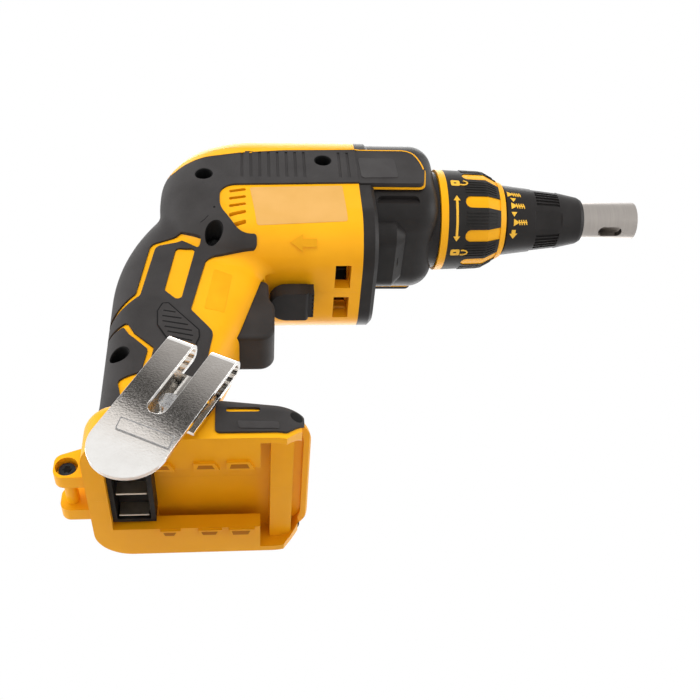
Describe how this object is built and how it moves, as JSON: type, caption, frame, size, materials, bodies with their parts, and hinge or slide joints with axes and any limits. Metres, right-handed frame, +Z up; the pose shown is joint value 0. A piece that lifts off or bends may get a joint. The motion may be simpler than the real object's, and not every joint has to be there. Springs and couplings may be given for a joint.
{
  "type": "drywall screwdriver",
  "caption": "Cordless pistol grip drywall screwdriver without its battery, with a rubber grip, depth setting nose, lock collar, trigger, reverse lever and belt hook.",
  "frame": {"origin": "centre of the depth locator's mouth, on the spindle axis", "axes": "+X out of the nose along the spindle, +Y to the tool's left, +Z up when the handle hangs down"},
  "size_m": [0.2836, 0.0912, 0.2373],
  "materials": {
    "housing_plastic": "satin moulded",
    "grip_rubber": "matt, finely textured",
    "case_nylon": "fine spark texture",
    "dark_plastic": "satin",
    "plated_steel": "bright plated",
    "bright_steel": "turned",
    "screw_steel": "dark plated",
    "contact_brass": "plain",
    "lamination_steel": "stacked sheet",
    "winding_copper": "enamelled wire",
    "cast_alloy": "die cast"
  },
  "bodies": {
    "housing": {"housing_right": "housing_plastic", "housing_left": "housing_plastic", "grip_right": "grip_rubber", "grip_left": "grip_rubber", "foot_bumper_right": "grip_rubber", "foot_bumper_left": "grip_rubber", "housing_screws": "screw_steel", "gear_case": "case_nylon", "gear_case_screws": "screw_steel", "belt_hook": "plated_steel", "belt_hook_screw": "screw_steel", "terminal_block": "dark_plastic", "terminal_blades": "contact_brass", "switch_body": "dark_plastic", "control_module": "dark_plastic", "motor_stator": "lamination_steel", "stator_windings": "winding_copper", "rear_bearing": "bright_steel", "front_bearing": "bright_steel", "bearing_plate": "cast_alloy", "gear_bearing": "bright_steel", "spindle_bush": "contact_brass", "thrust_washer": "bright_steel"},
    "trigger": {"trigger": "dark_plastic"},
    "reverse_lever": {"reverse_lever": "dark_plastic"},
    "lock_button": {"lock_button": "dark_plastic"},
    "lock_collar": {"lock_collar": "housing_plastic", "lock_collar_grip": "grip_rubber"},
    "nose": {"nose_carrier": "dark_plastic"},
    "depth_ring": {"depth_ring": "case_nylon"},
    "depth_locator": {"depth_locator": "bright_steel"},
    "drive_gear": {"drive_gear": "bright_steel"},
    "rotor": {"rotor_core": "lamination_steel", "motor_shaft": "bright_steel", "fan": "dark_plastic", "pinion": "bright_steel"},
    "clutch": {"clutch_spring": "screw_steel"},
    "spindle": {"spindle": "bright_steel", "bit_holder": "bright_steel", "bit_magnet": "bright_steel"}
  },
  "joints": [
    {"name": "trigger_pull", "type": "slide", "parent": "housing", "child": "trigger", "axis": [-1, 0, 0], "range_m": [0, 0.0065], "stiffness_N_per_m": 900, "springref_m": -0.004},
    {"name": "reverse_lever_swing", "type": "hinge", "parent": "housing", "child": "reverse_lever", "pos_m": [-0.1892, 0, -0.06], "axis": [0, 0, 1], "range_deg": [-12, 12]},
    {"name": "lock_button_press", "type": "slide", "parent": "housing", "child": "lock_button", "axis": [0, -1, 0], "range_m": [0, 0.003], "stiffness_N_per_m": 700, "springref_m": -0.002},
    {"name": "lock_collar_turn", "type": "hinge", "parent": "housing", "child": "lock_collar", "pos_m": [-0.095, 0, 0], "axis": [1, 0, 0], "range_deg": [0, 40]},
    {"name": "nose_pull", "type": "slide", "parent": "housing", "child": "nose", "axis": [1, 0, 0], "range_m": [0, 0.062]},
    {"name": "depth_ring_turn", "type": "hinge", "parent": "nose", "child": "depth_ring", "pos_m": [-0.05, 0, 0], "axis": [1, 0, 0], "range_deg": [-180, 180]},
    {"name": "depth_locator_slide", "type": "slide", "parent": "nose", "child": "depth_locator", "axis": [1, 0, 0], "range_m": [-0.004, 0.004]},
    {"name": "drive_gear_spin", "type": "hinge", "parent": "housing", "child": "drive_gear", "pos_m": [-0.14, 0, 0], "axis": [1, 0, 0], "continuous": true},
    {"name": "rotor_spin", "type": "hinge", "parent": "housing", "child": "rotor", "pos_m": [-0.2, 0, -0.023], "axis": [1, 0, 0], "continuous": true},
    {"name": "spindle_spin", "type": "hinge", "parent": "housing", "child": "clutch", "pos_m": [-0.131, 0, 0], "axis": [1, 0, 0], "continuous": true},
    {"name": "spindle_push", "type": "slide", "parent": "clutch", "child": "spindle", "axis": [-1, 0, 0], "range_m": [0, 0.005], "stiffness_N_per_m": 1500, "springref_m": -0.004, "deforming": ["clutch_spring"]}
  ],
  "couplings": [
    {"joint": "rotor_spin", "follows": "drive_gear_spin", "ratio": -3.6},
    {"joint": "spindle_spin", "follows": "drive_gear_spin", "ratio": 1},
    {"joint": "depth_locator_slide", "follows": "depth_ring_turn", "m_per_rad": 0.0012732}
  ]
}
